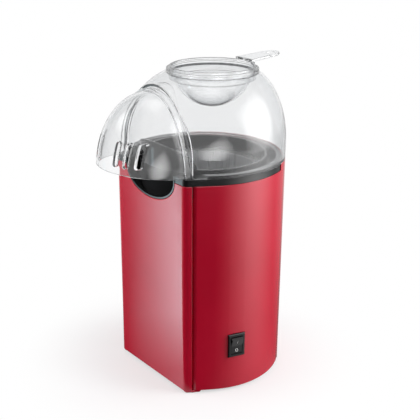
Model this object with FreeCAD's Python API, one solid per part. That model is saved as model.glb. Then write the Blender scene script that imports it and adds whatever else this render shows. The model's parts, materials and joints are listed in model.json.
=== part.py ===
import FreeCAD
import Part
import os
from math import asin, cos, degrees, pi, radians, sin, tan

Vector = FreeCAD.Vector
UP = Vector(0, 0, 1)

# All sizes are in millimetres. While a piece is modelled the body axis is x = y = 0, the table is
# z = 0 and the front faces -Y. Saving moves every piece along Y, so that the origin ends up under
# the middle of the whole machine.

# Body: round sides and back, straight runs to rounded front corners, flat front
body_radius = 70.0
front_distance = 57.4
side_angle = 30.0
corner_radius = 6.0
least_corner = 0.8
case_height = 185.0
foot_height = 2.5
wall = 2.5
fit = 0.3

# Seam between the front panel and the casing, and the casing's raised back
seam_setback = 5.4
seam_gap = 2.0
seam_bevel = 1.3
edge_bevel = 0.5
raise_start = 33.0
flange_reach = 8.0
flange_wall = 1.8
rib_spacing = 44.0
rib_width = 1.6
rib_depth = 2.6
cutout_half_width = 34.5
cutout_depth = 21.0
cutout_bevel = 0.6

# Screw columns of the casing
column_radius = 4.5
column_height = 24.0
column_pilot = 1.3
column_sink = 0.6
column_setback = 9.4
back_column_angle = 20.0

# Black collar: ring under the lid, low lip with a tongue at the front, scoop in the cut-out, chamber ledge
ring_height = 5.7
ring_inset = 0.6
trough_inset = 5.5
floor_wall = 2.0
skirt_depth = 10.0
skirt_wall = 1.8
lip_wall = 2.0
lip_rise = 2.8
tongue_half_width = 37.5
tongue_rise = 17.8
collar_depth = 27.5
scoop_wall = 1.5
ledge_drop = 5.5
ledge_wall = 2.0
ledge_width = 5.8
boss_radius = 4.0
boss_inset = 9.0
boss_pilot = 1.2
boss_pilot_depth = 14.0
boss_angles = (0.0, 60.0, 120.0, 180.0)

# Clear lid: dome, arched hood, arch band, chute with vent slots, neck for the cup
lid_wall = 2.0
dome_straight = 14.0
dome_rise = 57.0
dome_sweep = 69.0
dome_steps = 6
neck_radius = 36.9
neck_wall = 2.1
neck_height = 1.8
cup_offset = 9.0
hood_setback = 6.9
hood_half_width = 47.0
hood_height = 67.0
band_setback = 1.9
band_half_width = 47.3
band_height = 64.0
band_step = 1.6
chute_length = 44.5
chute_edge_slope = 0.1
slot_width = 4.0
slot_height = 19.5
slot_lift = 9.8
slot_places = (11.0, 20.3, 29.0)
skirt_gap = 0.6
lid_skirt_wall = 1.8
lid_skirt_depth = 4.0
lid_skirt_end = 40.0

# Measuring cup
cup_wall = 1.8
cup_gap = 0.6
cup_flange_wall = 1.2
cup_flange_reach = 1.9
cup_rim_height = 2.0
cup_straight = 8.0
cup_step = 4.5
cup_step_height = 1.5
cup_bowl_swell = 2.2
cup_edge = 0.45
handle_overhang = 12.5
handle_root_half = 10.5
handle_tip_radius = 8.5
handle_wall = 2.4
handle_edge = 0.6
handle_rise = 3.6
handle_lift = 2.6
hang_hole_radius = 3.5

# Popping chamber
chamber_gap = 0.8
chamber_wall = 1.0
chamber_flat = 26.0
chamber_bump = 4.0
chamber_bevel = 6.0
louvre_count = 12
louvre_width = 2.4
louvre_height = 11.0
louvre_lift = 13.0
louvre_lean = 35.0

# Air duct, which carries the chamber's air, the heater and the motor
duct_gap = 5.0
duct_wall = 2.0
duct_cone_height = 8.0
shroud_step = 7.0
shroud_height = 21.0
mount_wall = 2.5
inlet_step = 10.0
arm_width = 8.0
arm_count = 4
mount_radius = 15.0
heater_ledge_width = 2.5
heater_ledge_wall = 1.5
ear_wall = 3.0
ear_radius = 4.2
ear_hole = 1.7
pad_size = 22.0
pad_lift = 1.5

# Fan and motor
fan_gap = 2.0
fan_height = 12.0
fan_lift = 5.0
fan_hub_radius = 9.0
blade_count = 8
blade_wall = 1.4
blade_root_chord = 10.0
blade_tip_chord = 20.0
blade_pitch = 33.0
motor_radius = 13.9
motor_can_length = 33.0
motor_can_wall = 1.0
motor_cap_height = 5.0
motor_cap_spigot = 2.0
motor_lug_height = 2.0
motor_lug_radius = 1.5
motor_lug_spacing = 18.0
shaft_radius = 1.15
shaft_clearance = 0.05
shaft_overlap = 1.0
front_bush_radius = 4.0
front_bush_length = 5.0
front_bush_stand = 2.0
rear_bush_radius = 3.0
rear_bush_length = 3.5
armature_radius = 9.8
armature_length = 20.0
armature_slot = 2.2
armature_yoke = 4.5
magnet_wall = 2.0
magnet_glue = 0.05
magnet_span = 130.0
motor_screw_spacing = 16.0
motor_screw_radius = 1.3
motor_screw_reach = 2.0

# Rectifier board
board_radius = 12.0
board_wall = 1.4
diode_radius = 1.35
diode_length = 5.2
diode_spacing = 5.0
board_clearance = 4.075

# Heater
mica_wall = 1.0
mica_height = 15.0
mica_gap = 0.5
ribbon_wall = 1.0
ribbon_height = 6.0
ribbon_gap = 0.25
ribbon_first_radius = 13.0
ribbon_edge = 2.5
ribbon_half_turns = 4
heater_gap = 2.5

# Thermostat and thermal fuse, on pads of the duct
pad_rise = 17.0
thermostat_angle = 45.0
thermostat_radius = 8.0
thermostat_depth = 5.0
thermostat_cap_radius = 6.0
thermostat_cap_depth = 3.0
tab_width = 4.8
tab_wall = 0.8
tab_length = 7.0
fuse_angle = 135.0
fuse_radius = 2.0
fuse_length = 11.0
fuse_lead_radius = 0.5
fuse_lead_length = 6.0
fuse_clip_width = 6.0

# Rocker switch
switch_angle = -14.5
switch_height = 43.5
switch_bezel_height = 21.5
switch_bezel_width = 15.5
switch_bezel_wall = 1.9
switch_bezel_edge = 0.6
switch_bezel_sink = 0.3
switch_body_height = 19.2
switch_body_width = 13.2
switch_body_depth = 18.0
switch_body_wall = 1.2
switch_hole_gap = 0.15
rocker_gap = 0.25
rocker_radius = 8.1
rocker_lift = 2.9
rocker_angle = 10.0
rocker_pivot_sink = 1.2
trunnion_radius = 1.1
trunnion_clearance = 0.05
trunnion_reach = 0.9
terminal_spacing = 8.0

# Base plate, feet and fasteners
plate_low = 4.0
plate_wall = 2.5
plate_rim_height = 5.5
plate_rim_wall = 1.8
grille_radius = 40.0
grille_slot = 4.0
grille_pitch = 8.0
grille_count = 9
foot_radius = 8.0
foot_side_inset = 1.7
foot_front_inset = 9.4
foot_back_inset = 4.95
foot_inset = 0.5
pad_radius = 5.0
pad_wall = 1.5
pad_stand = 0.7
screw_shank = 1.25
screw_head = 2.9
screw_head_height = 1.4
screw_length = 12.0
screw_hole = 1.6
small_screw_shank = 1.15
small_screw_head = 3.0

# Cord bush in the back
gland_height = 24.0
gland_neck = 5.5
gland_flange = 8.0
gland_flange_wall = 2.2
gland_bore = 3.6
gland_gap = 0.1

# Heights and radii that follow from the sizes above
bottom = foot_height
top = bottom + case_height
seat = top + ring_height
seam_distance = front_distance - seam_setback
casing_front = seam_distance - seam_gap
trough_radius = body_radius - trough_inset
boss_circle = body_radius - boss_inset
lip_radius = front_distance - wall - fit
lip_top = seat + lip_rise
lip_bore = lip_radius - lip_wall
collar_low = top - collar_depth
ledge = top - ledge_drop
ledge_bore = lip_bore - ledge_width
dome_radius = body_radius
dome_top = seat + dome_straight + dome_rise
hood_distance = front_distance - hood_setback
band_distance = front_distance - band_setback
neck_outer = neck_radius + neck_wall
neck_top = dome_top + neck_height
chute_half_width = band_half_width - band_step
chute_height = band_height - band_step
chute_reach = band_distance + chute_length
cup_radius = neck_radius - cup_gap
cup_rim = neck_top + cup_flange_wall + cup_rim_height
cup_bowl_radius = cup_radius - cup_step + cup_bowl_swell
handle_reach = body_radius + handle_overhang
plate_high = plate_low + plate_wall
column_circle = body_radius - wall - column_radius + column_sink
column_front = seam_distance - flange_reach - column_setback
front_column_angle = degrees(asin(column_front / column_circle))
column_angles = (
    -front_column_angle, 90 - back_column_angle, 90 + back_column_angle, 180 + front_column_angle
)
chamber_radius = ledge_bore - chamber_gap - chamber_wall
duct_radius = chamber_radius + chamber_wall + duct_gap + duct_wall
shroud_radius = duct_radius - shroud_step
inlet_radius = shroud_radius - inlet_step
board_low = plate_high + board_clearance + 1.5 * diode_radius
board_high = board_low + board_wall
cap_low = board_high + motor_lug_height
can_low = cap_low + motor_cap_height
shroud_low = can_low + motor_can_length
shroud_high = shroud_low + shroud_height
cone_high = shroud_high + duct_cone_height
fan_low = shroud_low + fan_lift
mica_low = shroud_high + heater_ledge_wall
mica_reach = shroud_radius - duct_wall - mica_gap
ribbon_step = (mica_reach - ribbon_edge - ribbon_first_radius) / ribbon_half_turns
chamber_floor = mica_low + mica_height + heater_gap + chamber_wall
pad_height = chamber_floor + pad_rise
switch_face = body_radius - switch_bezel_sink
axis_shift = (chute_reach - handle_reach) / 2


def front_corner(inset):
    """Where a straight side would meet the front if the corner weren't rounded."""
    front = front_distance - inset
    lean = radians(side_angle)
    return Vector((body_radius - inset - front * sin(lean)) / cos(lean), -front, 0)


def outline(inset):
    """Face of the body's plan outline, moved inwards by inset."""
    radius = body_radius - inset
    corner = max(corner_radius - inset, least_corner)
    lean = radians(side_angle)
    start = Vector(radius * cos(lean), -radius * sin(lean), 0)
    along = Vector(-sin(lean), -cos(lean), 0)
    point = front_corner(inset)
    trim = corner * tan((pi / 2 - lean) / 2)
    side_end = point - along * trim
    front_end = point - Vector(trim, 0, 0)
    centre = front_end + Vector(0, corner, 0)
    middle = centre + (point - centre).normalize() * corner
    edges = [
        Part.Arc(start, Vector(0, radius, 0), flip(start)).toShape(),
        Part.makeLine(flip(start), flip(side_end)),
        Part.Arc(flip(side_end), flip(middle), flip(front_end)).toShape(),
        Part.makeLine(flip(front_end), front_end),
        Part.Arc(front_end, middle, side_end).toShape(),
        Part.makeLine(side_end, start),
    ]
    return Part.Face(Part.Wire(edges))


def flip(point):
    """The point mirrored to the other side of the machine."""
    return Vector(-point.x, point.y, point.z)


def slab(inset, low, high):
    face = outline(inset)
    face.translate(UP * low)
    return face.extrude(UP * (high - low))


def shell(outer_inset, inner_inset, low, high):
    return slab(outer_inset, low, high).cut(slab(inner_inset, low, high))


def drum(radius, low, high, x=0, y=0):
    return Part.makeCylinder(radius, high - low, Vector(x, y, low))


def ring(outer, inner, low, high, x=0, y=0):
    return drum(outer, low, high, x, y).cut(drum(inner, low, high, x, y))


def rod(radius, start, end):
    return Part.makeCylinder(radius, (end - start).Length, start, end - start)


def block(x_span, y_span, z_span):
    size = (x_span[1] - x_span[0], y_span[1] - y_span[0], z_span[1] - z_span[0])
    return Part.makeBox(*size, Vector(x_span[0], y_span[0], z_span[0]))


def behind(y):
    """Everything further back than y."""
    far = 3 * body_radius
    return block((-far, far), (y, y + far), (-far, 2 * far))


def ahead(y):
    """Everything further forward than y."""
    far = 3 * body_radius
    return block((-far, far), (y - far, y), (-far, 2 * far))


def turned(points):
    """Solid of revolution about the body axis, from corners given as (radius, height)."""
    corners = [Vector(radius, 0, height) for radius, height in points]
    return Part.Face(Part.makePolygon(corners + corners[:1])).revolve(Vector(), UP, 360)


def join(first, *others):
    return first.fuse(list(others)).removeSplitter()


def around(shape, degrees):
    copy = shape.copy()
    copy.rotate(Vector(), UP, degrees)
    return copy


def on_circle(radius, degrees):
    return radius * cos(radians(degrees)), radius * sin(radians(degrees))


def oval_prism(half_width, half_height, middle_z, y_span):
    """Elliptic prism along Y."""
    centre = Vector(0, y_span[0], middle_z)
    across = centre + Vector(half_width, 0, 0)
    over = centre + Vector(0, 0, half_height)
    long_end, short_end = (across, over) if half_width >= half_height else (over, across)
    edge = Part.Ellipse(long_end, short_end, centre).toShape()
    return Part.Face(Part.Wire(edge)).extrude(Vector(0, y_span[1] - y_span[0], 0))


def upright_edges(shape, y):
    """Vertical edges of the shape in the plane y, outermost pair."""
    edges = []
    for edge in shape.Edges:
        box = edge.BoundBox
        if box.ZLength > case_height / 2 and abs(box.YMin - y) + abs(box.YMax - y) < 0.01:
            edges.append(edge)
    widest = max(abs(edge.BoundBox.XMin) for edge in edges)
    return [edge for edge in edges if abs(abs(edge.BoundBox.XMin) - widest) < 0.01]


def is_level(edge):
    return edge.BoundBox.ZLength < 0.01


def cutout_edges(panel):
    """Front edge of the panel's half-oval cut-out."""
    edges = []
    for edge in panel.Edges:
        box = edge.BoundBox
        if abs(box.YMin + front_distance) + box.YLength < 0.01 and abs(box.ZLength - cutout_depth) < 0.1:
            edges.append(edge)
    return edges


def save(name, shape):
    placed = shape.copy()
    placed.translate(Vector(0, axis_shift, 0))
    placed.exportStep("parts/" + name + ".step")


def save_group(name, shapes):
    save(name, Part.makeCompound(shapes))


def main_casing():
    body = shell(0, wall, bottom, top)
    back = shell(0, wall, top, seat).common(behind(raise_start))
    body = join(body, back).cut(ahead(-casing_front))
    body = body.makeChamfer(seam_bevel, upright_edges(body, -casing_front))
    columns = []
    pilots = []
    for angle in column_angles:
        x, y = on_circle(column_circle, angle)
        columns.append(drum(column_radius, plate_high, plate_high + column_height, x, y))
        pilots.append(drum(column_pilot, plate_high, plate_high + column_height - wall, x, y))
    body = join(body, *columns)
    half_height = switch_body_height / 2 + switch_hole_gap
    half_width = switch_body_width / 2 + switch_hole_gap
    hole = block(
        (body_radius / 2, 2 * body_radius),
        (-half_width, half_width),
        (switch_height - half_height, switch_height + half_height),
    )
    bezel_half = switch_bezel_height / 2 + switch_hole_gap
    bezel_room = block(
        (switch_face, 2 * body_radius),
        (-switch_bezel_width / 2 - switch_hole_gap, switch_bezel_width / 2 + switch_hole_gap),
        (switch_height - bezel_half, switch_height + bezel_half),
    )
    hole = join(hole, bezel_room)
    middle = Vector(0, body_radius, gland_height)
    bush_hole = rod(gland_neck + gland_gap, middle - Vector(0, 2 * wall, 0), middle + Vector(0, wall, 0))
    return body.cut([around(hole, switch_angle), bush_hole] + pilots)


def front_panel():
    face = shell(0, wall, bottom, top).common(ahead(-seam_distance))
    low = plate_high + plate_rim_height + fit
    high = top - skirt_depth - fit
    inner = wall + fit
    tongue = shell(inner, inner + flange_wall, low, high)
    tongue = tongue.common(ahead(flange_reach - seam_distance)).cut(ahead(-seam_distance))
    root = shell(wall - edge_bevel, inner + flange_wall, low, high)
    reach = front_corner(inner + flange_wall).x - flange_wall
    middle = block((-reach, reach), (-front_distance, 0), (0, top))
    root = root.common(ahead(-seam_distance)).cut(middle)
    ribs = []
    for side in (-1, 1):
        x = side * rib_spacing / 2
        rib = block(
            (x - rib_width / 2, x + rib_width / 2),
            (wall / 2 - front_distance, wall - front_distance + rib_depth),
            (low, collar_low - fit),
        )
        ribs.append(rib)
    panel = join(face, tongue, root, *ribs)
    opening = oval_prism(cutout_half_width, cutout_depth, top, (-2 * front_distance, -casing_front))
    panel = panel.cut(opening)
    return panel.makeChamfer(cutout_bevel, cutout_edges(panel))


def scoop(half_width, depth, front):
    """Half-oval well behind the panel's cut-out, with straight sides up to the lid's seat."""
    span = (-front, -lip_bore / 2)
    well = oval_prism(half_width, depth, top, span)
    well = well.cut(block((-2 * half_width, 2 * half_width), (-2 * front, 0), (top, 2 * top)))
    sides = block((-half_width, half_width), span, (top, seat))
    return join(well, sides)


def top_collar():
    inner = wall + fit
    band = slab(ring_inset, top, seat).cut(drum(trough_radius, top, seat))
    band = band.cut(shell(-wall, inner, top, seat).common(behind(raise_start - fit)))
    floor = slab(inner, top - floor_wall, top)
    skirt = shell(inner, inner + skirt_wall, top - skirt_depth, top)
    rim_front = front_distance - fit
    well = scoop(cutout_half_width - fit, cutout_depth - fit, rim_front)
    bosses = []
    pilots = []
    for angle in boss_angles:
        x, y = on_circle(boss_circle, angle)
        bosses.append(drum(boss_radius, collar_low, top - floor_wall / 2, x, y))
        pilots.append(drum(boss_pilot, collar_low, collar_low + boss_pilot_depth, x, y))
    body = join(band, floor, skirt, well, *bosses)
    hollow = scoop(cutout_half_width - fit - scoop_wall, cutout_depth - fit - scoop_wall, 2 * rim_front)
    body = body.cut([hollow, drum(lip_radius - lip_wall / 2, 0, 2 * seat)] + pilots)
    tube = ring(lip_radius, lip_bore, collar_low, lip_top)
    front = ring(lip_radius, lip_bore, lip_top, lip_top + tongue_rise)
    tongue = front.common(oval_prism(tongue_half_width, tongue_rise, lip_top, (-body_radius, 0)))
    shelf = ring(lip_radius - lip_wall / 2, ledge_bore, ledge - ledge_wall, ledge)
    return join(body, tube, tongue, shelf)


def chamber_form(grow):
    """Solid of the pot's outline, its wall moved outwards by grow."""
    radius = chamber_radius + grow
    low = chamber_floor - grow
    high = ledge + chamber_wall
    bevel = chamber_bevel + grow * (2 - 2 ** 0.5)
    floor = [(0, low + chamber_bump), (chamber_flat, low), (radius - bevel, low)]
    return turned(floor + [(radius, low + bevel), (radius, high), (0, high)])


def popping_chamber():
    flange = drum(lip_bore - fit, ledge, ledge + chamber_wall)
    pot = join(chamber_form(chamber_wall), flange).cut(chamber_form(0))
    louvre = block(
        (chamber_radius - louvre_height / 2, chamber_radius + louvre_height / 2),
        (-louvre_width / 2, louvre_width / 2),
        (-louvre_height / 2, louvre_height / 2),
    )
    louvre.rotate(Vector(), Vector(1, 0, 0), louvre_lean)
    louvre.translate(UP * (chamber_floor + louvre_lift))
    return pot.cut([around(louvre, 360 * n / louvre_count) for n in range(louvre_count)])


def dome(inset):
    """Solid dome: a straight band, then circles on an elliptic profile that move back to the cup."""
    spring = seat + dome_straight
    sweep = radians(dome_sweep)
    half_depth = (dome_radius - neck_outer) / (1 - cos(sweep))
    half_rise = dome_rise / sin(sweep)
    sections = []
    for step in range(dome_steps + 1):
        angle = sweep * step / dome_steps
        normal = Vector(half_rise * cos(angle), 0, half_depth * sin(angle)).normalize()
        radius = dome_radius - half_depth * (1 - cos(angle)) - inset * normal.x
        height = spring + half_rise * sin(angle) - inset * normal.z
        back = cup_offset * (1 - cos(angle)) / (1 - cos(sweep))
        sections.append(Part.Wire(Part.makeCircle(radius, Vector(0, back, height), UP)))
    return join(drum(dome_radius - inset, seat, spring), Part.makeLoft(sections, True))


def chute_nose(inset):
    """Front half of an ellipsoid."""
    length = chute_length - inset
    ball = Part.makeSphere(length)
    stretch = FreeCAD.Matrix()
    stretch.scale(Vector((chute_half_width - inset) / length, 1, (chute_height - inset) / length))
    ball = ball.transformGeometry(stretch)
    ball.translate(Vector(0, -band_distance, seat))
    return ball.common(ahead(-band_distance))


def chute_edge():
    """Everything under the chute's bottom edge, which rises towards the front."""
    far = 2 * chute_reach
    corners = [(-band_distance, seat), (-far, seat + chute_edge_slope * (far - band_distance)), (-far, 0)]
    side = [Vector(-far, y, z) for y, z in corners + [(-band_distance, 0)]]
    return Part.Face(Part.makePolygon(side + side[:1])).extrude(Vector(2 * far, 0, 0))


def vent_slot(x):
    span = (-2 * chute_reach, -band_distance)
    low = seat + slot_lift + slot_width / 2
    high = low + slot_height - slot_width
    body = block((x - slot_width / 2, x + slot_width / 2), span, (low, high))
    ends = []
    for height in (low, high):
        ends.append(rod(slot_width / 2, Vector(x, span[0], height), Vector(x, span[1], height)))
    return join(body, *ends)


def arch(half_width, height, y_span):
    """Half-oval tunnel that stands on the lid's seat."""
    reach = 2 * body_radius
    above = block((-reach, reach), (-reach, reach), (seat, seat + reach))
    return oval_prism(half_width, height, seat, y_span).common(above)


def lid():
    hood_end = -hood_distance / 2
    hood = arch(hood_half_width, hood_height, (-hood_distance, hood_end))
    band = arch(band_half_width, band_height, (-band_distance, -hood_distance))
    nose = chute_nose(0).cut(chute_edge())
    neck = drum(neck_outer, dome_top - lid_wall, neck_top, 0, cup_offset)
    shape = join(dome(0).common(behind(-hood_distance)), hood, band, nose, neck)
    face_back = lid_wall - hood_distance
    dome_room = dome(lid_wall).common(behind(face_back))
    hood_room = arch(hood_half_width - lid_wall, hood_height - lid_wall, (face_back, hood_end))
    tunnel = arch(chute_half_width - lid_wall, chute_height - lid_wall, (-band_distance, hood_end))
    hole = drum(neck_radius, seat, 2 * neck_top, 0, cup_offset)
    shape = shape.cut(dome_room).cut(hood_room).cut(tunnel).cut(chute_nose(lid_wall)).cut(hole)
    outer = trough_radius - skirt_gap
    skirt = ring(outer, outer - lid_skirt_wall, seat - lid_skirt_depth, seat + lid_wall)
    web = ring(dome_radius - lid_wall / 2, outer - lid_skirt_wall, seat, seat + lid_wall)
    rim = join(skirt, web).common(behind(-lid_skirt_end))
    slots = [vent_slot(side * x) for x in slot_places for side in (-1, 1)]
    return join(shape, rim).cut(slots)


def cup_form(inset):
    """Solid of the cup's outline: round bowl, step, straight rim, its wall moved inwards by inset."""
    shoulder = neck_top - cup_straight
    spring = shoulder - cup_step_height
    rise = (cup_bowl_radius ** 2 - (cup_radius - cup_step) ** 2) ** 0.5
    ball_radius = cup_bowl_radius - inset
    bowl_edge = (ball_radius ** 2 - rise ** 2) ** 0.5
    rim = cup_radius - inset
    ball = Part.makeSphere(ball_radius, Vector(0, 0, spring + rise))
    bowl = ball.common(drum(2 * ball_radius, spring - 2 * ball_radius, spring))
    step = Part.makeCone(bowl_edge, rim, cup_step_height, Vector(0, 0, spring))
    shape = join(bowl, step, drum(rim, shoulder, cup_rim))
    shape.translate(Vector(0, cup_offset, 0))
    return shape


def cup_handle():
    """Flat tongue from the rim to a round tip with a hole to hang it by."""
    root = cup_offset + cup_radius - cup_wall
    tip = handle_reach - handle_tip_radius
    lean = (handle_root_half - handle_tip_radius) / (tip - root)
    side = Vector(handle_tip_radius * cos(lean), tip + handle_tip_radius * sin(lean), 0)
    start = Vector(handle_root_half, root, 0)
    edges = [
        Part.makeLine(start, side),
        Part.Arc(side, Vector(0, handle_reach, 0), flip(side)).toShape(),
        Part.makeLine(flip(side), flip(start)),
        Part.makeLine(flip(start), start),
    ]
    tongue = Part.Face(Part.Wire(edges)).extrude(UP * handle_wall)
    tongue = tongue.cut(drum(hang_hole_radius, -handle_wall, 2 * handle_wall, 0, tip))
    tongue = tongue.makeChamfer(handle_edge, [edge for edge in tongue.Edges if is_level(edge)])
    tongue.translate(UP * (neck_top + handle_lift))
    tongue.rotate(Vector(0, root, neck_top + handle_lift), Vector(1, 0, 0), handle_rise)
    foot_span = (root, cup_offset + neck_radius + cup_flange_reach / 2)
    foot_rise = (neck_top, neck_top + handle_lift + handle_wall)
    foot = block((-handle_root_half, handle_root_half), foot_span, foot_rise)
    return join(tongue, foot)


def measuring_cup():
    flange = drum(neck_radius + cup_flange_reach, neck_top, neck_top + cup_flange_wall, 0, cup_offset)
    bowl = cup_form(0).cut(cup_form(cup_wall))
    rim = [edge for edge in bowl.Edges if is_level(edge) and abs(edge.BoundBox.ZMin - cup_rim) < 0.01]
    bowl = bowl.makeChamfer(cup_edge, rim)
    return join(bowl, flange, cup_handle()).cut(cup_form(cup_wall))


def pad(angle):
    """Flat seat on the duct's wall for a part of the wiring."""
    half = pad_size / 2
    shape = block(
        (duct_radius - 2 * duct_wall, duct_radius + pad_lift),
        (-half, half),
        (pad_height - half, pad_height + half),
    )
    return around(shape, angle)


def air_duct():
    outer = turned([
        (0, shroud_low), (shroud_radius, shroud_low), (shroud_radius, shroud_high),
        (duct_radius, cone_high), (duct_radius, collar_low), (0, collar_low),
    ])
    shroud_bore = shroud_radius - duct_wall
    duct_bore = duct_radius - duct_wall
    deck = shroud_low + mount_wall
    bore = turned([
        (0, deck), (shroud_bore, deck), (shroud_bore, shroud_high),
        (duct_bore, cone_high), (duct_bore, 2 * collar_low), (0, 2 * collar_low),
    ])
    ears = []
    holes = []
    for angle in boss_angles:
        x, y = on_circle(boss_circle, angle)
        span = (duct_radius - duct_wall / 2, boss_circle)
        web = block(span, (-ear_radius, ear_radius), (collar_low - ear_wall, collar_low))
        ears.append(join(around(web, angle), drum(ear_radius, collar_low - ear_wall, collar_low, x, y)))
        holes.append(drum(ear_hole, 0, 2 * collar_low, x, y))
    body = join(outer, pad(thermostat_angle), pad(fuse_angle), *ears)
    body = body.cut([bore, drum(inlet_radius, 0, deck)] + holes)
    arms = []
    for n in range(arm_count):
        arm = block((0, inlet_radius + duct_wall), (-arm_width / 2, arm_width / 2), (shroud_low, deck))
        arms.append(around(arm, 360 * (n + 0.5) / arm_count))
    shelf = ring(shroud_bore + duct_wall / 2, shroud_bore - heater_ledge_width, shroud_high, mica_low)
    body = join(body, shelf, drum(mount_radius, shroud_low, deck), *arms)
    cuts = [drum(front_bush_radius + fit, 0, 2 * deck)]
    for side in (-1, 1):
        cuts.append(drum(motor_screw_radius + fit / 2, 0, 2 * deck, side * motor_screw_spacing / 2))
    return body.cut(cuts)


def fan():
    tip = shroud_radius - duct_wall - fan_gap
    root = fan_hub_radius / 2
    half_root = blade_root_chord / 2
    half_tip = blade_tip_chord / 2
    corners = [(root, -half_root), (tip + fan_gap, -half_tip), (tip + fan_gap, half_tip), (root, half_root)]
    plan = [Vector(x, y, -blade_wall / 2) for x, y in corners]
    blade = Part.Face(Part.makePolygon(plan + plan[:1])).extrude(UP * blade_wall)
    blade.rotate(Vector(), Vector(1, 0, 0), blade_pitch)
    blade.translate(UP * (fan_low + fan_height / 2))
    blades = [around(blade, 360 * n / blade_count) for n in range(blade_count)]
    hub = drum(fan_hub_radius, fan_low, fan_low + fan_height)
    body = join(hub, *blades).common(drum(tip, fan_low, fan_low + fan_height))
    return body.cut(drum(shaft_radius, fan_low, fan_low + fan_height - shaft_overlap))


def motor_can():
    can = drum(motor_radius, can_low, shroud_low)
    can = can.cut(drum(motor_radius - motor_can_wall, can_low, shroud_low - motor_can_wall))
    cuts = [drum(front_bush_radius, can_low, 2 * shroud_low)]
    for side in (-1, 1):
        cuts.append(drum(motor_screw_radius, can_low, 2 * shroud_low, side * motor_screw_spacing / 2))
    return can.cut(cuts)


def motor_end_cap():
    cap = drum(motor_radius, cap_low, can_low)
    spigot_radius = motor_radius - motor_can_wall - fit / 3
    spigot = ring(spigot_radius, armature_radius, can_low, can_low + motor_cap_spigot)
    lugs = []
    for side in (-1, 1):
        lugs.append(drum(motor_lug_radius, board_high, can_low, 0, side * motor_lug_spacing / 2))
    pocket = drum(rear_bush_radius, can_low - rear_bush_length, can_low)
    return join(cap, spigot, *lugs).cut(pocket)


def motor_bushes():
    bore = shaft_radius + shaft_clearance
    front_low = shroud_low - front_bush_length + front_bush_stand
    front = ring(front_bush_radius, bore, front_low, shroud_low + front_bush_stand)
    rear = ring(rear_bush_radius, bore, can_low - rear_bush_length, can_low)
    return [front, rear]


def motor_magnets():
    outer = motor_radius - motor_can_wall - magnet_glue
    low = can_low + motor_cap_spigot + fit
    high = low + armature_length + motor_cap_spigot
    tube = ring(outer, outer - magnet_wall, low, high)
    wedge = Part.makeCylinder(2 * outer, high - low, Vector(0, 0, low), UP, magnet_span)
    first = tube.common(around(wedge, -magnet_span / 2))
    return [first, around(first, 180)]


def armature():
    low = can_low + motor_cap_spigot + fit
    core = drum(armature_radius, low, low + armature_length)
    slots = []
    slot = block(
        (armature_yoke, 2 * armature_radius), (-armature_slot / 2, armature_slot / 2), (0, 2 * shroud_low)
    )
    for n in range(3):
        slots.append(around(slot, 120 * n + 60))
    return core.cut(slots + [drum(shaft_radius, 0, 2 * shroud_low)])


def motor_shaft():
    return drum(shaft_radius, can_low - rear_bush_length + fit, fan_low + fan_height - shaft_overlap)


def rectifier_board():
    board = drum(board_radius, board_low, board_high)
    diodes = []
    for n in range(4):
        x = (n - 1.5) * diode_spacing
        start = Vector(x, -diode_length / 2, board_low - diode_radius / 2)
        diodes.append(rod(diode_radius, start, start + Vector(0, diode_length, 0)))
    return join(board, *diodes)


def ribbon_spiral(ribbon_width, height):
    """Flat spiral of half turns, each a step wider than the last, so that they meet smoothly."""
    low = mica_low + mica_height - ribbon_height
    turns = []
    for n in range(ribbon_half_turns):
        radius = ribbon_first_radius + n * ribbon_step
        turn = ring(radius + ribbon_width / 2, radius - ribbon_width / 2, low, low + height)
        if n % 2:
            turn = turn.common(ahead(0))
            turn.translate(Vector(ribbon_step, 0, 0))
        else:
            turn = turn.common(behind(0))
        turns.append(turn)
    return join(*turns)


def heater_ribbon():
    return ribbon_spiral(ribbon_wall, ribbon_height)


def heater_frame():
    span = (-mica_reach, mica_reach)
    board = block(span, (-mica_wall / 2, mica_wall / 2), (mica_low, mica_low + mica_height))
    boards = join(around(board, 45), around(board, 135))
    return boards.cut(ribbon_spiral(ribbon_wall + 2 * ribbon_gap, 2 * ribbon_height))


def spade(start, direction):
    """Flat terminal tab that starts at a point and runs outwards or downwards."""
    end = start + direction * tab_length
    across = Vector(0, 1, 0)
    thick = direction.cross(across)
    corner = start - across * (tab_width / 2) - thick * (tab_wall / 2)
    outline_points = [corner, corner + across * tab_width]
    outline_points += [point + (end - start) for point in reversed(outline_points)]
    face = Part.Face(Part.makePolygon(outline_points + outline_points[:1]))
    return face.extrude(thick * tab_wall)


def thermostat():
    seat_radius = duct_radius + pad_lift
    base = Vector(seat_radius, 0, pad_height)
    shoulder = base + Vector(thermostat_depth, 0, 0)
    body = rod(thermostat_radius, base, shoulder)
    cap = rod(thermostat_cap_radius, shoulder, shoulder + Vector(thermostat_cap_depth, 0, 0))
    tabs = []
    for way in (-1, 1):
        root = Vector(seat_radius + thermostat_depth - tab_wall, 0, pad_height + way * thermostat_cap_radius)
        tabs.append(spade(root, UP * way))
    return around(join(body, cap, *tabs), thermostat_angle)


def thermal_fuse():
    seat_radius = duct_radius + pad_lift
    middle = seat_radius + fuse_radius
    low = Vector(middle, 0, pad_height - fuse_length / 2)
    high = Vector(middle, 0, pad_height + fuse_length / 2)
    lead = UP * fuse_lead_length
    half = fuse_clip_width / 2
    saddle = block(
        (seat_radius, middle), (-2 * fuse_radius, 2 * fuse_radius), (pad_height - half, pad_height + half)
    )
    body = join(
        rod(fuse_radius, low, high),
        rod(fuse_lead_radius, low - lead, low),
        rod(fuse_lead_radius, high, high + lead),
        saddle,
    )
    return around(body, fuse_angle)


def switch_window():
    half_height = rocker_radius + rocker_gap
    half_width = switch_body_width / 2 - switch_body_wall
    return half_width, half_height


def switch_pivot():
    return Vector(switch_face - rocker_pivot_sink, 0, switch_height)


def centred_block(x_span, width, height):
    return block(x_span, (-width / 2, width / 2), (switch_height - height / 2, switch_height + height / 2))


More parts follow.
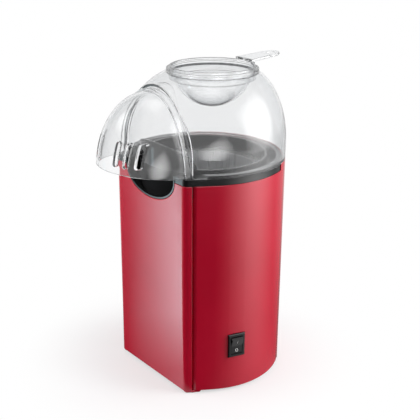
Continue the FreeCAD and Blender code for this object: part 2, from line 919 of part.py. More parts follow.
def switch_housing():
    half_width, half_height = switch_window()
    bezel = centred_block(
        (switch_face, switch_face + switch_bezel_wall), switch_bezel_width, switch_bezel_height
    )
    front = switch_face + switch_bezel_wall
    rim = [edge for edge in bezel.Edges if edge.BoundBox.XMin > front - 0.01]
    bezel = bezel.makeChamfer(switch_bezel_edge, rim)
    back = switch_face - switch_body_depth
    body = centred_block((back, switch_face), switch_body_width, switch_body_height)
    room = centred_block((back + switch_body_wall, 2 * front), 2 * half_width, 2 * half_height)
    pivot = switch_pivot()
    across = Vector(0, switch_body_width, 0)
    bore = rod(trunnion_radius + trunnion_clearance, pivot - across, pivot + across)
    return around(join(bezel, body).cut([room, bore]), switch_angle)


def switch_rocker():
    """Rocker at OFF: its lower half lies flush and its upper half stands out."""
    half_width, _ = switch_window()
    pivot = switch_pivot()
    width = Vector(0, half_width - rocker_gap, 0)
    disc = rod(rocker_radius, pivot - width, pivot + width)
    far = 4 * rocker_radius
    lean = tan(radians(rocker_angle))
    corners = [(rocker_lift, 0), (rocker_lift + far * lean, far), (far, far)]
    corners += [(far, -far), (rocker_lift + far * lean, -far)]
    side = [pivot + Vector(x, -far, z) for x, z in corners]
    notch = Part.Face(Part.makePolygon(side + side[:1])).extrude(Vector(0, 2 * far, 0))
    back = block((0, pivot.x - trunnion_radius - rocker_gap), (-far, far), (0, 2 * switch_height))
    body = disc.cut([notch, back])
    body.rotate(pivot, Vector(0, 1, 0), rocker_angle)
    reach = Vector(0, half_width + trunnion_reach, 0)
    pin = rod(trunnion_radius, pivot - reach, pivot + reach)
    return around(join(body, pin), switch_angle)


def switch_terminals():
    back = switch_face - switch_body_depth
    tabs = []
    for way in (-1, 1):
        root = Vector(back, 0, switch_height + way * terminal_spacing / 2)
        tabs.append(around(spade(root, Vector(-1, 0, 0)), switch_angle))
    return tabs


def foot_points():
    """Middles of the feet: two behind the front corners and two near the round back."""
    front = (front_corner(0).x - foot_side_inset, foot_front_inset - front_distance)
    back = on_circle(body_radius - foot_back_inset, 45)
    return [(side * x, y) for x, y in (front, back) for side in (-1, 1)]


def base_plate():
    inner = wall + fit
    plate = slab(inner, plate_low, plate_high)
    rim = shell(inner, inner + plate_rim_wall, plate_high, plate_high + plate_rim_height)
    feet = []
    recesses = []
    for x, y in foot_points():
        core = drum(foot_radius, pad_stand, plate_low, x, y)
        feet.append(slab(inner, pad_stand, plate_low).common(core))
        feet.append(slab(foot_inset, pad_stand, bottom).common(core))
        recesses.append(drum(pad_radius, 0, pad_wall, x, y))
    body = join(plate, rim, *feet)
    cuts = []
    for angle in column_angles:
        x, y = on_circle(column_circle, angle)
        cuts.append(drum(column_radius + fit, plate_high, 2 * plate_high + plate_rim_height, x, y))
        cuts.append(drum(screw_hole, 0, plate_high, x, y))
        cuts.append(drum(screw_head + fit, 0, plate_low + screw_head_height, x, y))
    for n in range(grille_count):
        y = (n - (grille_count - 1) / 2) * grille_pitch
        half = (grille_radius ** 2 - y ** 2) ** 0.5
        cuts.append(block((-half, half), (y - grille_slot / 2, y + grille_slot / 2), (0, plate_high)))
    return body.cut(cuts + recesses)


def foot_pads():
    return [drum(pad_radius, 0, pad_wall, x, y) for x, y in foot_points()]


def screw(x, y, head_low, head_radius, head_height, shank_radius, length):
    head = drum(head_radius, head_low, head_low + head_height, x, y)
    shank = drum(shank_radius, head_low, head_low + head_height + length, x, y)
    return join(head, shank)


def base_screws():
    screws = []
    for angle in column_angles:
        x, y = on_circle(column_circle, angle)
        screws.append(screw(x, y, plate_low, screw_head, screw_head_height, screw_shank, screw_length))
    return screws


def collar_screws():
    low = collar_low - ear_wall - screw_head_height
    screws = []
    for angle in boss_angles:
        x, y = on_circle(boss_circle, angle)
        screws.append(screw(x, y, low, small_screw_head, screw_head_height, small_screw_shank, screw_length))
    return screws


def motor_screws():
    high = shroud_low + mount_wall
    screws = []
    for side in (-1, 1):
        x = side * motor_screw_spacing / 2
        head = drum(2 * motor_screw_radius, high, high + screw_head_height, x)
        shank = drum(small_screw_shank, shroud_low - motor_screw_reach, high, x)
        screws.append(join(head, shank))
    return screws


def cord_gland():
    outside = Vector(0, body_radius, gland_height)
    back = Vector(0, 1, 0)
    neck = rod(gland_neck, outside - back * (wall + gland_flange_wall), outside)
    flange = rod(gland_flange, outside, outside + back * gland_flange_wall)
    inner_low = outside - back * (wall + fit + gland_flange_wall)
    inner = rod(gland_neck + gland_flange_wall / 2, inner_low, inner_low + back * gland_flange_wall)
    bore = rod(gland_bore, outside - back * body_radius / 2, outside + back * body_radius / 2)
    return join(neck, flange, inner).cut(bore)


os.makedirs("parts", exist_ok=True)
save("main_casing", main_casing())
save("front_panel", front_panel())
save("top_collar", top_collar())
save("popping_chamber", popping_chamber())
save("lid", lid())
save("measuring_cup", measuring_cup())
save("air_duct", air_duct())
save("heater_frame", heater_frame())
save("heater_ribbon", heater_ribbon())
save("fan", fan())
save("motor_can", motor_can())
save("motor_end_cap", motor_end_cap())
save("motor_shaft", motor_shaft())
save("armature", armature())
save("rectifier_board", rectifier_board())
save("thermostat", thermostat())
save("thermal_fuse", thermal_fuse())
save("switch_housing", switch_housing())
save("switch_rocker", switch_rocker())
save("base_plate", base_plate())
save("cord_gland", cord_gland())
save_group("motor_bushes", motor_bushes())
save_group("motor_magnets", motor_magnets())
save_group("motor_screws", motor_screws())
save_group("switch_terminals", switch_terminals())
save_group("base_screws", base_screws())
save_group("collar_screws", collar_screws())
save_group("foot_pads", foot_pads())
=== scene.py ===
import json
import math

import bmesh
import bpy
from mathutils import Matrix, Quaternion, Vector


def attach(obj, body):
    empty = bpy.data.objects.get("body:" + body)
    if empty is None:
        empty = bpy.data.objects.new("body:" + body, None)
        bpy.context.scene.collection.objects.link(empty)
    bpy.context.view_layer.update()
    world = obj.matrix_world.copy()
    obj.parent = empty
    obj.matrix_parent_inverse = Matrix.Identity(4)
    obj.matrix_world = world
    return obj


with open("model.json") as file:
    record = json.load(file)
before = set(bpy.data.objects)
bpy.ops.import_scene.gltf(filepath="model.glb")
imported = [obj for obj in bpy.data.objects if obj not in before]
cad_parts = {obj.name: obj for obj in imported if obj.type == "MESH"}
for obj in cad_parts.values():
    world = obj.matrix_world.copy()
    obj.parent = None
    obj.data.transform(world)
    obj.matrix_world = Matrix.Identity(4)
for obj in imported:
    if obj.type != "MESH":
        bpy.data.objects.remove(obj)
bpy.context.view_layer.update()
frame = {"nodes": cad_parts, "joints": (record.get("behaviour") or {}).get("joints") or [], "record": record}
nodes = frame["nodes"]
scene = bpy.context.scene

# Lengths are in metres, turns in degrees and noise scales per metre

# Camera, at the photograph's viewing angle
CAMERA_AZIMUTH = 52.25
CAMERA_PITCH = 20.93
CAMERA_PLACE = (0.5423, -0.42805, 0.3988)
CAMERA_LENS = 72.09
CAMERA_SHIFT = (0.0524, 0.0238)
CAMERA_CLIP = (0.01, 50.0)

# All materials: the span of a noise that drives a colour or a roughness, and rounded edges
NOISE_SPAN = (0.3, 0.7)
BEVEL_SAMPLES = 6
SMALL_EDGE = 0.0002

# Moulded plastic
PLASTIC_IOR = 1.52
PLASTIC_SHINE = 0.5
DRIFT_SCALE = 14.0
MARKS_SCALE = 55.0
WAVE_SCALE = 60.0
WAVE_DEPTH = 0.0006
WAVE_STRENGTH = 0.04
GRAIN_SCALE = 1500.0
GRAIN_DEPTH = 0.00012

# Finger recess in the black collar, under the chute: matt, apart from its rim at the front
RECESS_TOP = 0.1925
RECESS_BACK = -0.028
RECESS_FRONT = -0.0479
RECESS_HALF = 0.036
RECESS_BLUR = 0.0008
RIM_BLUR = 0.0002
RECESS_ROUGHNESS = 0.8
RECESS_SHINE = 0.06

# Clear plastic, which looks darker where it is seen edge on
CLEAR_COLOUR = (0.938, 0.942, 0.946)
EDGE_ON_COLOUR = (0.58, 0.60, 0.62)
EDGE_ON_SPAN = (0.35, 0.95)
CLEAR_TRANSMISSION = 0.98
CLEAR_IOR = 1.5
CLEAR_ROUGHNESS = (0.015, 0.05)
CLEAR_EDGE = 0.0006
CLEAR_SHADOW = (0.93, 0.94, 0.95)
SCUFF_SCALE = 90.0
FLOW_SCALE = 26.0
FLOW_DEPTH = 0.0012
FLOW_STRENGTH = 0.06

# Bare metal, and dull surfaces with a grain
STAIN_SCALE = 45.0
BRUSH_DEPTH = 0.00008
BRUSH_STRENGTH = 0.25
DULL_STRENGTH = 0.3
DULL_FINENESS = 9

# White print
PRINT_DARK = (0.62, 0.62, 0.60)
PRINT_LIGHT = (0.78, 0.78, 0.76)
PRINT_ROUGHNESS = (0.45, 0.6)
PRINT_SCALE = 2500.0

# Marks on the rocker, whose face is a shallow V with its fold a little out from the pivot
ROCKER_LEAN = 10.0
ROCKER_LIFT = 0.0029
MARK_PLACE = 0.0041
MARK_LINE = 0.00042
MARK_HEIGHT = 0.0030
MARK_SINK = 0.00002
MARK_STAND = 0.00004
BAR_SLIT = MARK_LINE / 4
RING_WIDTH = MARK_HEIGHT * 0.9
RING_POINTS = 40

# World and floor: white where they are seen, dimmer for the light that they throw on the object
WHITE = (1.0, 1.0, 1.0)
WORLD_LIGHT = (0.30, 0.30, 0.31)
FLOOR_RADIUS = 9.0
FLOOR_CORNERS = 96
FLOOR_COLOUR = (0.92, 0.92, 0.92)
FLOOR_BOUNCE = (0.35, 0.35, 0.35)
FLOOR_ROUGHNESS = 0.6
FLOOR_SHINE = 0.2
SHADOW_REACH = (0.07, 0.17)
SHADOW_WHITE = (0.55, 1.0)

# Card that the round side reflects: a part of a ring, with its brightness by turn and reach from a centre.
# It grows over SIDE_RISE, fades over SIDE_FALL and is brighter further out. Over SIDE_FAR, which is further
# out past SIDE_STRETCH, and at both ends it leads over into the plain floor.
SIDE_SECTOR = (-138.0, 150.0)
SIDE_RING = (0.06, 2.7)
SIDE_POINTS = 36
SIDE_HEIGHT = 0.0005
SIDE_COLOUR = WHITE
SIDE_CENTRE = (0.029, -0.030, 0.0)
SIDE_RISE = (-20.0, 53.0)
SIDE_FALL = (28.0, 81.0)
SIDE_FALL_LEVELS = (1.0, 0.13)
SIDE_REACH = (0.0, 0.6)
SIDE_LEVELS = (0.53, 3.75)
SIDE_FAR = (0.55, 1.2)
SIDE_STRETCH = (-60.0, -35.0)
SIDE_STRETCH_LEVELS = (1.0, 0.45)
SIDE_ENDS = ((-95.0, -135.0), (105.0, 145.0))

# Card that the flat front reflects: a strip along the way that the view goes on after its reflection there.
# Its brightness rises across the strip, more steeply over FRONT_BEND, ends over FRONT_END and is weaker near
# the front. FRONT_CORNER takes a slanting corner off it. Over FRONT_FAR and FRONT_LEFT it leads over into
# the plain floor.
FRONT_TURN = 214.0
FRONT_STRIP_ALONG = (-0.02, 1.3)
FRONT_STRIP_ACROSS = (-0.07, 0.106)
FRONT_HEIGHT = 0.001
FRONT_COLOUR = (0.78, 0.97, 1.04)
FRONT_RISE = (0.018, 0.0885)
FRONT_RISE_LEVELS = (0.2, 4.24)
FRONT_BEND = (0.045, 0.078)
FRONT_BEND_LEVELS = (1.0, 1.3)
FRONT_END = (0.0885, 0.105)
FRONT_NEAR = (0.026, 0.139)
FRONT_NEAR_LEVELS = (0.34, 1.0)
FRONT_SLOPE = 3
FRONT_CORNER = (-0.255, -0.205)
FRONT_FAR = (0.6, 1.2)
FRONT_LEFT = (0.0, -0.06)

# Points that the soft lights look at
BODY_MIDDLE = (0.0, 0.0, 0.12)
BODY_LOW = (0.0, 0.0, 0.1)
FRONT_MIDDLE = (0.0, -0.05, 0.12)
CHUTE_SIDE = (0.03, -0.07, 0.14)


def rgba(colour):
    """A colour with full cover."""
    return (*colour, 1.0)


def shader(name):
    """A new material with one Principled shader."""
    mat = bpy.data.materials.new(name)
    mat.use_nodes = True
    return mat, mat.node_tree, mat.node_tree.nodes["Principled BSDF"]


def add(tree, kind, inputs=None, **settings):
    """A new node with some of its settings and inputs given."""
    node = tree.nodes.new(kind)
    for key, value in settings.items():
        setattr(node, key, value)
    for key, value in (inputs or {}).items():
        node.inputs[key].default_value = value
    return node


def coordinates(tree, stretch=(1, 1, 1)):
    """Coordinates in the piece's own frame, stretched along an axis if wanted."""
    where = add(tree, "ShaderNodeTexCoord")
    mapping = add(tree, "ShaderNodeMapping", {"Scale": stretch})
    tree.links.new(where.outputs["Object"], mapping.inputs["Vector"])
    return mapping.outputs["Vector"]


def split(tree, vector):
    """The X, Y and Z of a vector."""
    node = add(tree, "ShaderNodeSeparateXYZ")
    tree.links.new(vector, node.inputs[0])
    return node.outputs


def length(tree, vector):
    """How long a vector is."""
    node = add(tree, "ShaderNodeVectorMath", operation="LENGTH")
    tree.links.new(vector, node.inputs[0])
    return node.outputs["Value"]


def noise(tree, vector, scale, detail=3.0, roughness=0.5):
    """Soft noise between 0 and 1."""
    node = add(tree, "ShaderNodeTexNoise", {"Scale": scale, "Detail": detail, "Roughness": roughness})
    tree.links.new(vector, node.inputs["Vector"])
    return node.outputs["Fac"]


def ramp(tree, factor, first, last, span=NOISE_SPAN):
    """A colour that goes from the first to the last as a factor goes through a span."""
    node = add(tree, "ShaderNodeValToRGB")
    for stop, position, colour in zip(node.color_ramp.elements, span, (first, last)):
        stop.position = position
        stop.color = rgba(colour)
    tree.links.new(factor, node.inputs["Fac"])
    return node.outputs["Color"]


def linear(tree, value, span, levels, kind="LINEAR"):
    """A level that goes from the first to the last as a value goes through a span."""
    inputs = {1: span[0], 2: span[1], 3: levels[0], 4: levels[1]}
    node = add(tree, "ShaderNodeMapRange", inputs, interpolation_type=kind)
    tree.links.new(value, node.inputs[0])
    return node.outputs[0]


def smooth(tree, value, span, levels=(0.0, 1.0)):
    """As linear, with soft ends."""
    return linear(tree, value, span, levels, "SMOOTHSTEP")


def below(tree, value, limit, blur):
    """1 where a value lies under a limit, 0 where it lies over it."""
    return linear(tree, value, (limit - blur, limit + blur), (1.0, 0.0))


def calculate(tree, operation, *values, **settings):
    """Result of a math node for other nodes' outputs or plain numbers."""
    node = add(tree, "ShaderNodeMath", operation=operation, **settings)
    for socket, value in zip(node.inputs, values):
        if isinstance(value, float):
            socket.default_value = value
        else:
            tree.links.new(value, socket)
    return node.outputs[0]


def product(tree, *values):
    """Several values multiplied."""
    total = values[0]
    for value in values[1:]:
        total = calculate(tree, "MULTIPLY", total, value)
    return total


def towards(tree, value, goal, share):
    """A value led over to a plain number by a share from 0 to 1."""
    node = add(tree, "ShaderNodeMix", {"B": goal})
    tree.links.new(share, node.inputs["Factor"])
    tree.links.new(value, node.inputs["A"])
    return node.outputs["Result"]


def mix_shaders(tree, share, first, last):
    """The first shader where a share is 0, and the last where it is 1."""
    node = add(tree, "ShaderNodeMixShader")
    for socket, output in zip(node.inputs, (share, first, last)):
        tree.links.new(output, socket)
    return node.outputs["Shader"]


def bumps(tree, layers, edge):
    """Bump layers on top of each other, each (height, distance, strength), over rounded edges."""
    normal = add(tree, "ShaderNodeBevel", {"Radius": edge}, samples=BEVEL_SAMPLES).outputs["Normal"]
    for height, distance, strength in layers:
        bump = add(tree, "ShaderNodeBump", {"Distance": distance, "Strength": strength})
        tree.links.new(height, bump.inputs["Height"])
        tree.links.new(normal, bump.inputs["Normal"])
        normal = bump.outputs["Normal"]
    return normal


def matt_recess(tree, bsdf):
    """Takes the gloss off the finger recess under the chute."""
    parts = split(tree, coordinates(tree))
    front = below(tree, parts["Y"], RECESS_BACK, RECESS_BLUR)
    under = below(tree, parts["Z"], RECESS_TOP, RECESS_BLUR)
    between = below(tree, calculate(tree, "ABSOLUTE", parts["X"]), RECESS_HALF, RECESS_BLUR)
    rim = below(tree, parts["Y"], RECESS_FRONT, RIM_BLUR)
    inside = calculate(tree, "SUBTRACT", product(tree, front, under, between), rim, use_clamp=True)
    plain = bsdf.inputs["Roughness"].links[0].from_socket
    tree.links.new(towards(tree, plain, RECESS_ROUGHNESS, inside), bsdf.inputs["Roughness"])
    shine = linear(tree, inside, (0.0, 1.0), (PLASTIC_SHINE, RECESS_SHINE))
    tree.links.new(shine, bsdf.inputs["Specular IOR Level"])


def moulded_plastic(name, dark, light, rough, grain, edge, recess=False):
    """Moulded plastic: slight colour drift, fine mould texture, faint waviness, marks in the gloss."""
    mat, tree, bsdf = shader(name)
    where = coordinates(tree)
    drift = noise(tree, where, DRIFT_SCALE, detail=2.0)
    marks = noise(tree, where, MARKS_SCALE, detail=5.0, roughness=0.6)
    wave = noise(tree, where, WAVE_SCALE, detail=1.0)
    fine = noise(tree, where, GRAIN_SCALE, detail=2.0)
    layers = [(wave, WAVE_DEPTH, WAVE_STRENGTH), (fine, GRAIN_DEPTH, grain)]
    tree.links.new(ramp(tree, drift, dark, light), bsdf.inputs["Base Color"])
    tree.links.new(linear(tree, marks, NOISE_SPAN, rough), bsdf.inputs["Roughness"])
    tree.links.new(bumps(tree, layers, edge), bsdf.inputs["Normal"])
    bsdf.inputs["IOR"].default_value = PLASTIC_IOR
    if recess:
        matt_recess(tree, bsdf)
    return mat


def clear_plastic(name):
    """Clear plastic that lets lamps through: darker edge on, flow waviness, slight haze, fine scuffs."""
    mat, tree, bsdf = shader(name)
    where = coordinates(tree)
    tilt = add(tree, "ShaderNodeLayerWeight").outputs["Facing"]
    marks = noise(tree, where, SCUFF_SCALE, detail=4.0, roughness=0.6)
    flow = noise(tree, where, FLOW_SCALE, detail=1.0)
    colour = ramp(tree, tilt, CLEAR_COLOUR, EDGE_ON_COLOUR, EDGE_ON_SPAN)
    tree.links.new(colour, bsdf.inputs["Base Color"])
    tree.links.new(linear(tree, marks, NOISE_SPAN, CLEAR_ROUGHNESS), bsdf.inputs["Roughness"])
    tree.links.new(bumps(tree, [(flow, FLOW_DEPTH, FLOW_STRENGTH)], CLEAR_EDGE), bsdf.inputs["Normal"])
    bsdf.inputs["Transmission Weight"].default_value = CLEAR_TRANSMISSION
    bsdf.inputs["IOR"].default_value = CLEAR_IOR
    shadow_ray = add(tree, "ShaderNodeLightPath").outputs["Is Shadow Ray"]
    through = add(tree, "ShaderNodeBsdfTransparent", {"Color": rgba(CLEAR_SHADOW)})
    surface = mix_shaders(tree, shadow_ray, bsdf.outputs["BSDF"], through.outputs["BSDF"])
    tree.links.new(surface, tree.nodes["Material Output"].inputs["Surface"])
    return mat


def metal(name, dark, light, rough, brush, brush_scale):
    """Bare metal: drawn or brushed lines along one axis, stains, and soft edges."""
    mat, tree, bsdf = shader(name)
    lines = noise(tree, coordinates(tree, brush), brush_scale)
    stains = noise(tree, coordinates(tree), STAIN_SCALE, detail=4.0, roughness=0.6)
    tree.links.new(ramp(tree, stains, dark, light), bsdf.inputs["Base Color"])
    tree.links.new(linear(tree, lines, NOISE_SPAN, rough), bsdf.inputs["Roughness"])
    tree.links.new(bumps(tree, [(lines, BRUSH_DEPTH, BRUSH_STRENGTH)], SMALL_EDGE), bsdf.inputs["Normal"])
    bsdf.inputs["Metallic"].default_value = 1.0
    return mat


def dull(name, dark, light, rough, scale, depth):
    """Dull mineral, laminate or rubber surface with a visible grain."""
    mat, tree, bsdf = shader(name)
    where = coordinates(tree)
    coarse = noise(tree, where, scale, detail=4.0, roughness=0.65)
    fine = noise(tree, where, scale * DULL_FINENESS)
    tree.links.new(ramp(tree, coarse, dark, light), bsdf.inputs["Base Color"])
    tree.links.new(linear(tree, coarse, NOISE_SPAN, rough), bsdf.inputs["Roughness"])
    tree.links.new(bumps(tree, [(fine, depth, DULL_STRENGTH)], SMALL_EDGE), bsdf.inputs["Normal"])
    return mat


def white_print(name):
    """White pad-print, a little uneven in its tone and gloss."""
    mat, tree, bsdf = shader(name)
    patches = noise(tree, coordinates(tree), PRINT_SCALE)
    tree.links.new(ramp(tree, patches, PRINT_DARK, PRINT_LIGHT), bsdf.inputs["Base Color"])
    tree.links.new(linear(tree, patches, NOISE_SPAN, PRINT_ROUGHNESS), bsdf.inputs["Roughness"])
    return mat


# One material for each of the record's slots, and one for the printed marks
finishes = {
    "red_plastic": moulded_plastic(
        "red_plastic", dark=(0.50, 0.0045, 0.0250), light=(0.56, 0.0065, 0.0310),
        rough=(0.10, 0.14), grain=0.03, edge=0.0006,
    ),
    "black_plastic": moulded_plastic(
        "black_plastic", dark=(0.005, 0.005, 0.0055), light=(0.008, 0.008, 0.0085),
        rough=(0.12, 0.17), grain=0.06, edge=0.0003, recess=True,
    ),
    "duct_plastic": moulded_plastic(
        "duct_plastic", dark=(0.030, 0.030, 0.031), light=(0.045, 0.044, 0.043),
        rough=(0.45, 0.60), grain=0.30, edge=0.0004,
    ),
    "clear_plastic": clear_plastic("clear_plastic"),
    "aluminium": metal(
        "aluminium", dark=(0.72, 0.72, 0.73), light=(0.80, 0.80, 0.80),
        rough=(0.24, 0.42), brush=(1, 1, 0.04), brush_scale=900.0,
    ),
    "steel": metal(
        "steel", dark=(0.50, 0.50, 0.49), light=(0.62, 0.62, 0.60),
        rough=(0.22, 0.38), brush=(1, 1, 0.2), brush_scale=700.0,
    ),
    "dark_iron": metal(
        "dark_iron", dark=(0.10, 0.10, 0.10), light=(0.16, 0.155, 0.15),
        rough=(0.45, 0.65), brush=(1, 1, 8), brush_scale=500.0,
    ),
    "brass": metal(
        "brass", dark=(0.66, 0.48, 0.20), light=(0.78, 0.60, 0.28),
        rough=(0.25, 0.40), brush=(1, 1, 0.2), brush_scale=600.0,
    ),
    "mica": dull(
        "mica", dark=(0.52, 0.46, 0.33), light=(0.70, 0.64, 0.50),
        rough=(0.35, 0.55), scale=160.0, depth=0.0001,
    ),
    "board": dull(
        "board", dark=(0.30, 0.17, 0.06), light=(0.40, 0.25, 0.10),
        rough=(0.50, 0.65), scale=220.0, depth=0.00008,
    ),
    "rubber": dull(
        "rubber", dark=(0.018, 0.018, 0.018), light=(0.032, 0.032, 0.032),
        rough=(0.70, 0.85), scale=300.0, depth=0.0001,
    ),
    "white_print": white_print("white_print"),
}
for part in frame["record"]["subparts"]:
    piece = nodes[part["node"]]
    piece.data.materials.clear()
    piece.data.materials.append(finishes[part["material_slot"]])


def mesh_object(name, bm, material):
    """A new object in the scene, from a finished bmesh and one material."""
    mesh = bpy.data.meshes.new(name)
    bm.normal_update()
    bm.to_mesh(mesh)
    bm.free()
    mesh.materials.append(material)
    piece = bpy.data.objects.new(name, mesh)
    scene.collection.objects.link(piece)
    return piece


# Printed marks of the switch: a bar on the upper half of the rocker and a ring on the lower half
def rocker_half(way):
    """Middle of one half of the rocker's face, with the directions across, up along it and out of it."""
    hinge = next(joint for joint in frame["joints"] if joint["name"] == "rocker_tip")
    up = Vector((0, 0, 1))
    facing = up.cross(Vector(hinge["axis"]))
    across = up.cross(facing)
    tip = math.radians(ROCKER_LEAN)
    fold = Vector(hinge["pos_m"]) + ROCKER_LIFT * (math.cos(tip) * facing - math.sin(tip) * up)
    lean = tip * (1 + way)
    along = math.sin(lean) * facing + math.cos(lean) * up
    out = math.cos(lean) * facing - math.sin(lean) * up
    return fold + way * MARK_PLACE * along, across, along, out


def switch_mark(name, way, outer, inner):
    """Thin print between an outer and an inner outline, both lists of points across and along the face."""
    middle, across, along, out = rocker_half(way)
    bm = bmesh.new()
    rows = []
    for outline in (outer, inner):
        for lift in (-MARK_SINK, MARK_STAND):
            rows.append([bm.verts.new(middle + x * across + y * along + lift * out) for x, y in outline])
    outer_low, outer_high, inner_low, inner_high = rows
    count = len(outer)
    walls = (
        (outer_low, outer_high), (outer_high, inner_high), (inner_high, inner_low), (inner_low, outer_low)
    )
    for first, second in walls:
        for n in range(count):
            nearby = (n + 1) % count
            bm.faces.new((first[n], first[nearby], second[nearby], second[n]))
    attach(mesh_object(name, bm, finishes["white_print"]), "rocker")


def bar(width, height):
    """Corners of an upright rectangle."""
    x, y = width / 2, height / 2
    return [(-x, -y), (x, -y), (x, y), (-x, y)]


def oval(width, height):
    """Points of an upright oval."""
    turns = [2 * math.pi * n / RING_POINTS for n in range(RING_POINTS)]
    return [(width / 2 * math.cos(turn), height / 2 * math.sin(turn)) for turn in turns]


switch_mark("mark_on", 1, bar(MARK_LINE, MARK_HEIGHT), bar(BAR_SLIT, MARK_HEIGHT - (MARK_LINE - BAR_SLIT)))
switch_mark("mark_off", -1, oval(RING_WIDTH, MARK_HEIGHT),
            oval(RING_WIDTH - 2 * MARK_LINE, MARK_HEIGHT - 2 * MARK_LINE))


def seen_rays(tree):
    """1 for rays that see the surroundings: straight, in a reflection or through clear plastic."""
    path = add(tree, "ShaderNodeLightPath").outputs
    either = calculate(tree, "MAXIMUM", path["Is Camera Ray"], path["Is Glossy Ray"])
    return calculate(tree, "MAXIMUM", either, path["Is Transmission Ray"])


def make_world():
    """World that looks white and lights the object at a plain level."""
    world = bpy.data.worlds.new("studio")
    scene.world = world
    world.use_nodes = True
    tree = world.node_tree
    colours = {"A": rgba(WORLD_LIGHT), "B": rgba(WHITE)}
    shade = add(tree, "ShaderNodeMix", colours, data_type="RGBA")
    tree.links.new(seen_rays(tree), shade.inputs["Factor"])
    tree.links.new(shade.outputs["Result"], tree.nodes["Background"].inputs["Color"])


def make_floor():
    """Floor that looks white, apart from the object's shadow close to it, and throws little light back."""
    bpy.ops.mesh.primitive_circle_add(vertices=FLOOR_CORNERS, radius=FLOOR_RADIUS, fill_type="NGON")
    floor = bpy.context.object
    floor.name = "floor"
    mat, tree, bsdf = shader("floor")
    floor.data.materials.append(mat)
    bsdf.inputs["Base Color"].default_value = rgba(FLOOR_COLOUR)
    bsdf.inputs["Roughness"].default_value = FLOOR_ROUGHNESS
    bsdf.inputs["Specular IOR Level"].default_value = FLOOR_SHINE
    dim = add(tree, "ShaderNodeBsdfDiffuse", {"Color": rgba(FLOOR_BOUNCE)})
    white = add(tree, "ShaderNodeEmission", {"Color": rgba(WHITE), "Strength": 1.0})
    seen = seen_rays(tree)
    whiteness = smooth(tree, length(tree, coordinates(tree)), SHADOW_REACH, SHADOW_WHITE)
    lit = mix_shaders(tree, seen, dim.outputs["BSDF"], bsdf.outputs["BSDF"])
    surface = mix_shaders(tree, product(tree, whiteness, seen), lit, white.outputs["Emission"])
    tree.links.new(surface, tree.nodes["Material Output"].inputs["Surface"])


def softbox(name, place, target, size, radiance, roll=0.0):
    """Rectangular soft light whose middle has the given brightness, turned in its own plane if wanted."""
    data = bpy.data.lights.new(name, "AREA")
    data.shape = "RECTANGLE"
    data.size, data.size_y = size
    data.energy = math.pi * size[0] * size[1] * radiance
    data.use_nodes = True
    tree = data.node_tree
    parts = split(tree, add(tree, "ShaderNodeNewGeometry").outputs["Parametric"])
    half_turns = [calculate(tree, "MULTIPLY", parts[axis], math.pi) for axis in ("X", "Y")]
    fades = [calculate(tree, "SINE", half_turn) for half_turn in half_turns]
    tree.links.new(product(tree, *fades), tree.nodes["Emission"].inputs["Strength"])
    lamp = bpy.data.objects.new(name, data)
    lamp.visible_camera = False
    lamp.visible_transmission = False
    scene.collection.objects.link(lamp)
    lamp.location = place
    lamp.rotation_mode = "QUATERNION"
    aim = (Vector(target) - Vector(place)).to_track_quat("-Z", "Y")
    lamp.rotation_quaternion = aim @ Quaternion((0, 0, 1), math.radians(roll))
    return lamp


def around(degrees, reach, height=0.0):
    """A place at a turn from +X and a reach from the upright axis."""
    turn = math.radians(degrees)
    return (reach * math.cos(turn), reach * math.sin(turn), height)


def radians(span):
    """A span of degrees in radians."""
    return tuple(math.radians(degrees) for degrees in span)


def card(name, outline, height, colour, glow):
    """Flat card just above the floor, which only reflections meet, with a brightness from its own nodes."""
    bm = bmesh.new()
    bm.faces.new([bm.verts.new((x, y, height)) for x, y in outline])
    mat, tree, _ = shader(name)
    light = add(tree, "ShaderNodeEmission", {"Color": rgba(colour)})
    tree.links.new(glow(tree), light.inputs["Strength"])
    tree.links.new(light.outputs["Emission"], tree.nodes["Material Output"].inputs["Surface"])
    piece = mesh_object(name, bm, mat)
    piece.visible_camera = False
    piece.visible_transmission = False
    piece.visible_shadow = False
    piece.visible_diffuse = False


def towards_floor(tree, glow, share):
    """A card's brightness, led over into that of the plain floor."""
    return towards(tree, glow, 1.0, share)


def sector(turns, ring):
    """Outline of a part of a ring round the origin."""
    start, end = turns
    steps = [start + (end - start) * n / SIDE_POINTS for n in range(SIDE_POINTS + 1)]
    inner = [around(step, ring[0])[:2] for step in steps]
    outer = [around(step, ring[1])[:2] for step in steps]
    return inner + outer[::-1]


def side_glow(tree):
    """Brightness that the round side reflects: a soft hump on the right, dark on the left, plain far out."""
    offset = add(tree, "ShaderNodeVectorMath", {1: SIDE_CENTRE}, operation="SUBTRACT")
    tree.links.new(coordinates(tree), offset.inputs[0])
    parts = split(tree, offset.outputs["Vector"])
    turn = calculate(tree, "ARCTAN2", parts["Y"], parts["X"])
    reach = length(tree, offset.outputs["Vector"])
    rise = smooth(tree, turn, radians(SIDE_RISE))
    fall = smooth(tree, turn, radians(SIDE_FALL), SIDE_FALL_LEVELS)
    level = linear(tree, reach, SIDE_REACH, SIDE_LEVELS)
    stretch = smooth(tree, turn, radians(SIDE_STRETCH), SIDE_STRETCH_LEVELS)
    far = smooth(tree, product(tree, reach, stretch), SIDE_FAR)
    glow = towards_floor(tree, product(tree, rise, fall, level), far)
    for end in SIDE_ENDS:
        glow = towards_floor(tree, glow, smooth(tree, turn, radians(end)))
    return glow


# The way that the view goes on after its reflection in the front, and the way across it
front_along = Vector(around(FRONT_TURN, 1.0))
front_across = Vector(around(FRONT_TURN + 90.0, 1.0))


def strip(along, across):
    """Outline of a rectangle along the way of the front's reflection."""
    corners = [(along[0], across[0]), (along[1], across[0]), (along[1], across[1]), (along[0], across[1])]
    points = [a * front_along + b * front_across for a, b in corners]
    return [(point.x, point.y) for point in points]


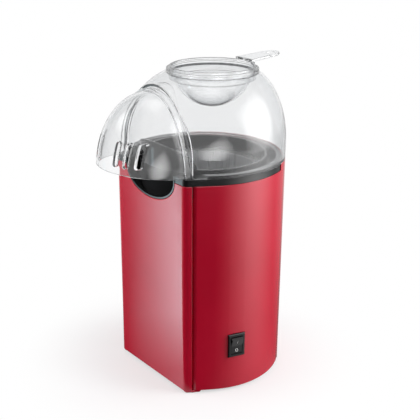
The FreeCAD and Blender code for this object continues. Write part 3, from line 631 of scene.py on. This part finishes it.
def front_glow(tree):
    """Brightness that the flat front reflects: rising from left to right, and weaker near the bottom."""
    where = coordinates(tree)
    distances = []
    for way in (front_along, front_across, front_along - FRONT_SLOPE * front_across):
        node = add(tree, "ShaderNodeVectorMath", {1: way}, operation="DOT_PRODUCT")
        tree.links.new(where, node.inputs[0])
        distances.append(node.outputs["Value"])
    along, across, slant = distances
    rise = linear(tree, across, FRONT_RISE, FRONT_RISE_LEVELS)
    bend = linear(tree, across, FRONT_BEND, FRONT_BEND_LEVELS)
    end = smooth(tree, across, FRONT_END, (1.0, 0.0))
    near = linear(tree, along, FRONT_NEAR, FRONT_NEAR_LEVELS)
    corner = smooth(tree, slant, FRONT_CORNER)
    glow = product(tree, rise, bend, end, near, corner)
    glow = towards_floor(tree, glow, smooth(tree, along, FRONT_FAR))
    return towards_floor(tree, glow, smooth(tree, across, FRONT_LEFT))


# Stage: world, floor, reflection cards and soft lights
make_world()
make_floor()
card("side_card", sector(SIDE_SECTOR, SIDE_RING), SIDE_HEIGHT, SIDE_COLOUR, side_glow)
card("front_card", strip(FRONT_STRIP_ALONG, FRONT_STRIP_ACROSS), FRONT_HEIGHT, FRONT_COLOUR, front_glow)
softbox(
    "left_light", place=around(230.0, reach=0.80, height=0.75), target=FRONT_MIDDLE,
    size=(0.6, 0.5), radiance=3.8,
)
softbox(
    "right_light", place=around(44.0, reach=0.80, height=0.45), target=BODY_MIDDLE,
    size=(0.9, 1.0), radiance=8.0,
)
softbox("top_light", place=(-0.1, 0.1, 1.3), target=BODY_LOW, size=(0.9, 0.9), radiance=2.5)
front_fill = softbox(
    "front_fill", place=around(240.0, reach=1.0, height=0.30), target=FRONT_MIDDLE,
    size=(1.2, 1.0), radiance=4.4,
)
front_fill.visible_glossy = False
chute_light = softbox(
    "chute_light", place=(0.779, -0.337, 0.14), target=CHUTE_SIDE,
    size=(0.76, 0.5), radiance=8.6, roll=30.0,
)
chute_light.visible_diffuse = False

# Camera
azimuth = math.radians(CAMERA_AZIMUTH)
pitch = math.radians(CAMERA_PITCH)
back = Vector((
    math.sin(azimuth) * math.cos(pitch), -math.cos(azimuth) * math.cos(pitch), math.sin(pitch)
))
camera = bpy.data.objects.new("camera", bpy.data.cameras.new("camera"))
scene.collection.objects.link(camera)
camera.location = CAMERA_PLACE
camera.rotation_mode = "QUATERNION"
camera.rotation_quaternion = (-back).to_track_quat("-Z", "Y")
camera.data.lens = CAMERA_LENS
camera.data.shift_x, camera.data.shift_y = CAMERA_SHIFT
camera.data.clip_start, camera.data.clip_end = CAMERA_CLIP
scene.camera = camera
scene.view_settings.view_transform = "Standard"
